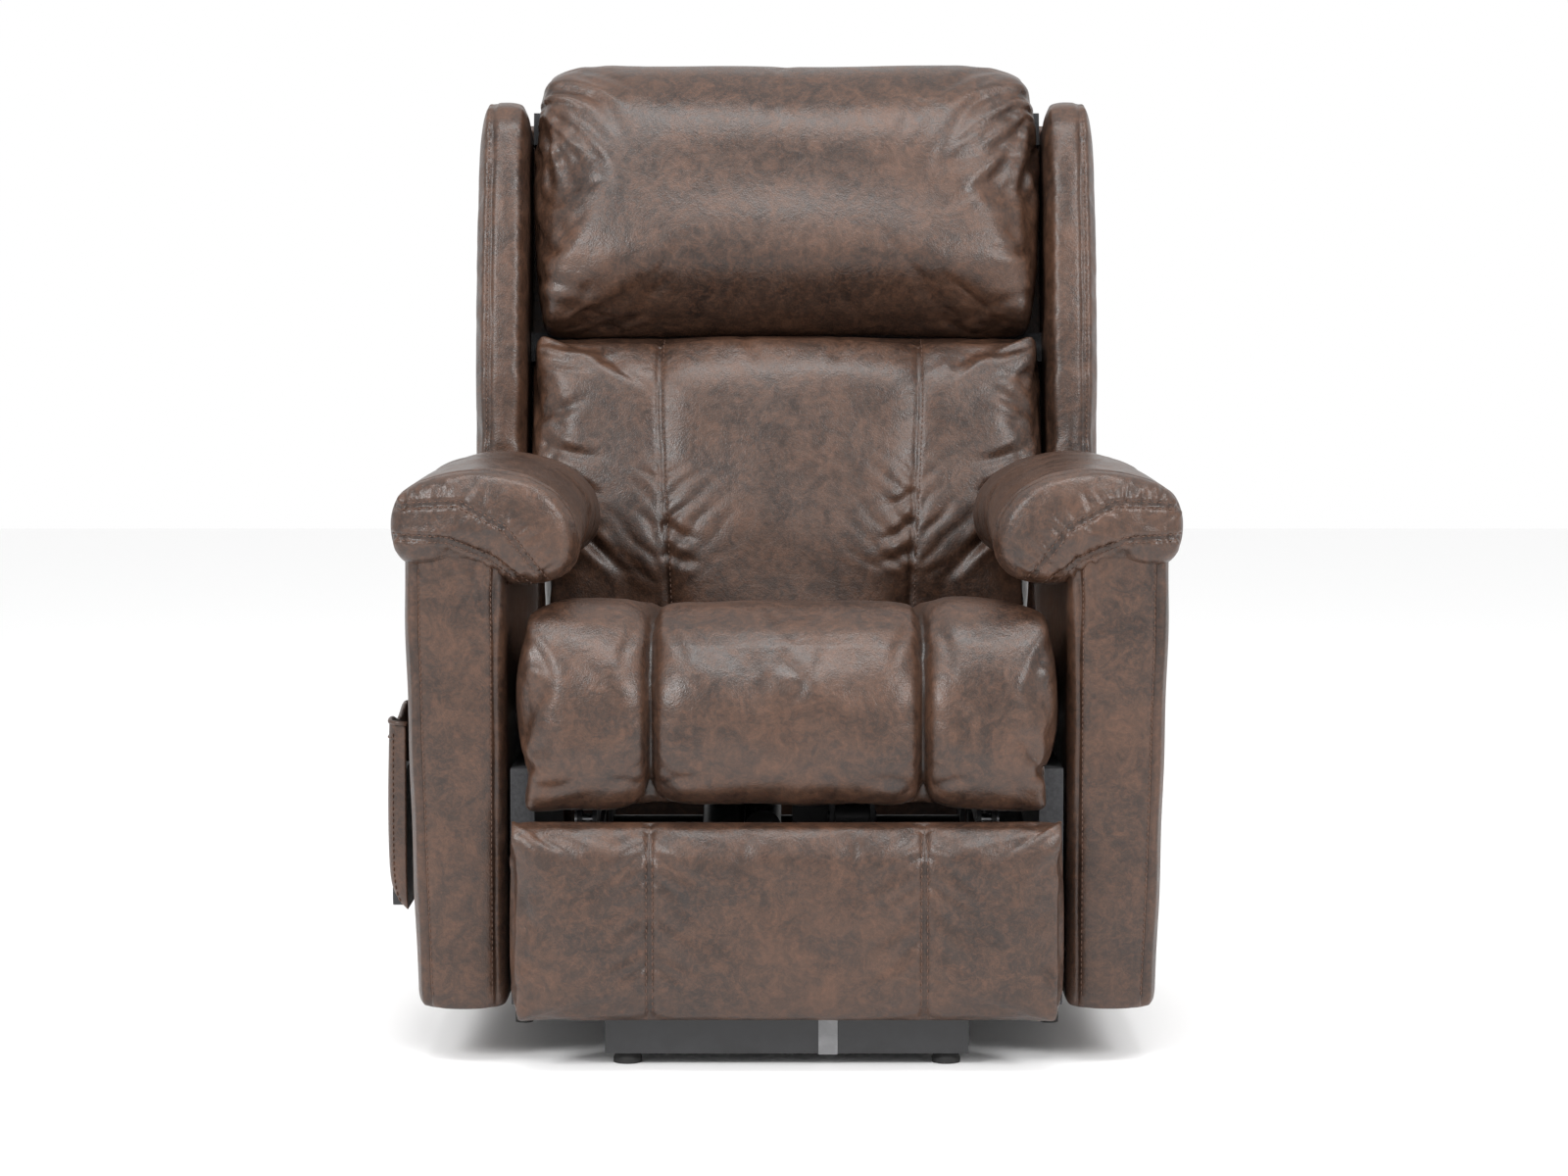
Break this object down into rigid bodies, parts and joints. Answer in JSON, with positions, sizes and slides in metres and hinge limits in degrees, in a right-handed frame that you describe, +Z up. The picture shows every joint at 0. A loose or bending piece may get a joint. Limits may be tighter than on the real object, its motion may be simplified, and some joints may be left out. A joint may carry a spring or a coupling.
{
  "type": "lift recliner chair",
  "caption": "Padded lift and recline armchair in brown faux leather with wing back, pillow arms, fold-out footrest and a steel lift base.",
  "frame": {"origin": "on the floor under the middle of the chair", "axes": "+Z up, -Y is the chair's front, +X is the sitter's left"},
  "size_m": [0.838, 0.8877, 1.0855],
  "materials": {
    "brown_leather": "distressed brown faux leather, satin, mottled",
    "black_steel": "satin black powder coat",
    "zinc_steel": "zinc plated",
    "black_plastic": "matt moulded",
    "rubber": "matt",
    "grey_label": "matt",
    "plywood": "raw plywood",
    "webbing": "woven webbing"
  },
  "bodies": {
    "base": {"base_front_tube": "black_steel", "base_rear_tube": "black_steel", "base_left_rail": "black_steel", "base_right_rail": "black_steel", "base_feet": "rubber", "base_tube_caps": "black_plastic", "lift_pivot_brackets": "black_steel", "base_pivot_pins": "zinc_steel", "lift_motor_bracket": "black_steel", "tube_strap": "grey_label"},
    "lift_links": {"main_lift_links": "black_steel", "lift_torque_tube": "black_steel"},
    "guide_link_pair": {"guide_links": "black_steel"},
    "lift_motor": {"lift_motor_housing": "black_plastic", "lift_motor_tube": "zinc_steel"},
    "lift_rod": {"lift_motor_rod": "zinc_steel"},
    "carriage": {"side_plate_left": "black_steel", "side_plate_right": "black_steel", "front_cross_tube": "black_steel", "rear_cross_tube": "black_steel", "carriage_pivot_pins": "zinc_steel", "seat_side_boards": "plywood", "seat_front_rail": "plywood", "seat_rear_rail": "black_steel", "seat_spring_deck": "webbing", "seat_cushion": "brown_leather", "arm_frames": "plywood", "arm_left": "brown_leather", "arm_right": "brown_leather", "arm_pad_left": "brown_leather", "arm_pad_right": "brown_leather", "side_pocket": "brown_leather", "rear_skirt": "brown_leather", "frame_glides": "rubber", "power_box": "black_plastic", "power_inlet": "black_plastic", "arm_bolts": "zinc_steel"},
    "handset": {"handset_body": "black_plastic"},
    "button_up": {"handset_button_up": "grey_label"},
    "button_down": {"handset_button_down": "grey_label"},
    "backrest": {"back_frame": "plywood", "back_webbing": "webbing", "lumbar_cushion": "brown_leather", "head_pillow": "brown_leather", "wing_left": "brown_leather", "wing_right": "brown_leather", "back_cover": "brown_leather", "back_brackets": "black_steel", "back_lever_tube": "black_steel"},
    "back_motor": {"back_motor_housing": "black_plastic"},
    "back_rod": {"back_motor_rod": "zinc_steel"},
    "foot_links": {"foot_main_links": "black_steel", "foot_lever_tube": "black_steel"},
    "foot_outer": {"foot_outer_links": "black_steel"},
    "footrest": {"footrest_brackets": "black_steel", "footrest_board": "plywood", "footrest_cushion": "brown_leather"},
    "foot_motor": {"foot_motor_housing": "black_plastic"},
    "foot_rod": {"foot_motor_rod": "zinc_steel"}
  },
  "joints": [
    {"name": "lift", "type": "hinge", "parent": "base", "child": "lift_links", "pos_m": [0, -0.33, 0.07], "axis": [1, 0, 0], "range_deg": [0, 45]},
    {"name": "carriage_tilt", "type": "hinge", "parent": "lift_links", "child": "carriage", "pos_m": [0, 0, 0.115], "axis": [1, 0, 0], "range_deg": [-21, 0]},
    {"name": "guide_link_pivot", "type": "hinge", "parent": "base", "child": "guide_link_pair", "pos_m": [0, -0.3194, 0.1138], "axis": [1, 0, 0], "range_deg": [0, 40.13]},
    {"name": "lift_motor_pivot", "type": "hinge", "parent": "base", "child": "lift_motor", "pos_m": [0, 0.13, 0.065], "axis": [1, 0, 0], "range_deg": [-0.25, 0]},
    {"name": "lift_rod_pivot", "type": "hinge", "parent": "lift_links", "child": "lift_rod", "pos_m": [0, -0.26, 0.17], "axis": [1, 0, 0], "range_deg": [-45.26, 0]},
    {"name": "recline", "type": "hinge", "parent": "carriage", "child": "backrest", "pos_m": [0, 0.15, 0.365], "axis": [-1, 0, 0], "range_deg": [0, 40]},
    {"name": "back_motor_pivot", "type": "hinge", "parent": "carriage", "child": "back_motor", "pos_m": [0.07, -0.27, 0.245], "axis": [-1, 0, 0], "range_deg": [-1.9, 0]},
    {"name": "back_rod_pivot", "type": "hinge", "parent": "backrest", "child": "back_rod", "pos_m": [0.07, 0.165, 0.268], "axis": [-1, 0, 0], "range_deg": [-41.9, 0]},
    {"name": "footrest_open", "type": "hinge", "parent": "carriage", "child": "foot_links", "pos_m": [0, -0.33, 0.25], "axis": [-1, 0, 0], "range_deg": [0, 92]},
    {"name": "footrest_outer_link", "type": "hinge", "parent": "foot_links", "child": "foot_outer", "pos_m": [0, -0.34, 0.078], "axis": [-1, 0, 0], "range_deg": [-116.01, 0]},
    {"name": "footrest_board_pivot", "type": "hinge", "parent": "foot_outer", "child": "footrest", "pos_m": [0, -0.375, 0.2], "axis": [-1, 0, 0], "range_deg": [0, 108.01]},
    {"name": "foot_motor_pivot", "type": "hinge", "parent": "carriage", "child": "foot_motor", "pos_m": [-0.07, 0, 0.245], "axis": [-1, 0, 0], "range_deg": [0, 9.53]},
    {"name": "foot_rod_pivot", "type": "hinge", "parent": "foot_links", "child": "foot_rod", "pos_m": [-0.07, -0.33, 0.19], "axis": [-1, 0, 0], "range_deg": [-82.5, 0]},
    {"name": "handset_lift_out", "type": "slide", "parent": "carriage", "child": "handset", "axis": [0, 0, 1], "range_m": [0, 0.22]},
    {"name": "button_up_press", "type": "slide", "parent": "handset", "child": "button_up", "axis": [1, 0, 0], "range_m": [0, 0.0015], "stiffness_N_per_m": 300},
    {"name": "button_down_press", "type": "slide", "parent": "handset", "child": "button_down", "axis": [1, 0, 0], "range_m": [0, 0.0015], "stiffness_N_per_m": 300}
  ],
  "couplings": [
    {"joint": "carriage_tilt", "follows": "lift", "ratio": -0.46667},
    {"joint": "guide_link_pivot", "follows": "lift", "ratio": 0.8916},
    {"joint": "lift_motor_pivot", "follows": "lift", "ratio": -0.0055},
    {"joint": "lift_rod_pivot", "follows": "lift", "ratio": -1.0055},
    {"joint": "back_motor_pivot", "follows": "recline", "ratio": -0.047},
    {"joint": "back_rod_pivot", "follows": "recline", "ratio": -1.047},
    {"joint": "footrest_outer_link", "follows": "footrest_open", "ratio": -1.2609},
    {"joint": "footrest_board_pivot", "follows": "footrest_open", "ratio": 1.1739},
    {"joint": "foot_motor_pivot", "follows": "footrest_open", "ratio": 0.1035},
    {"joint": "foot_rod_pivot", "follows": "footrest_open", "ratio": -0.8965}
  ]
}
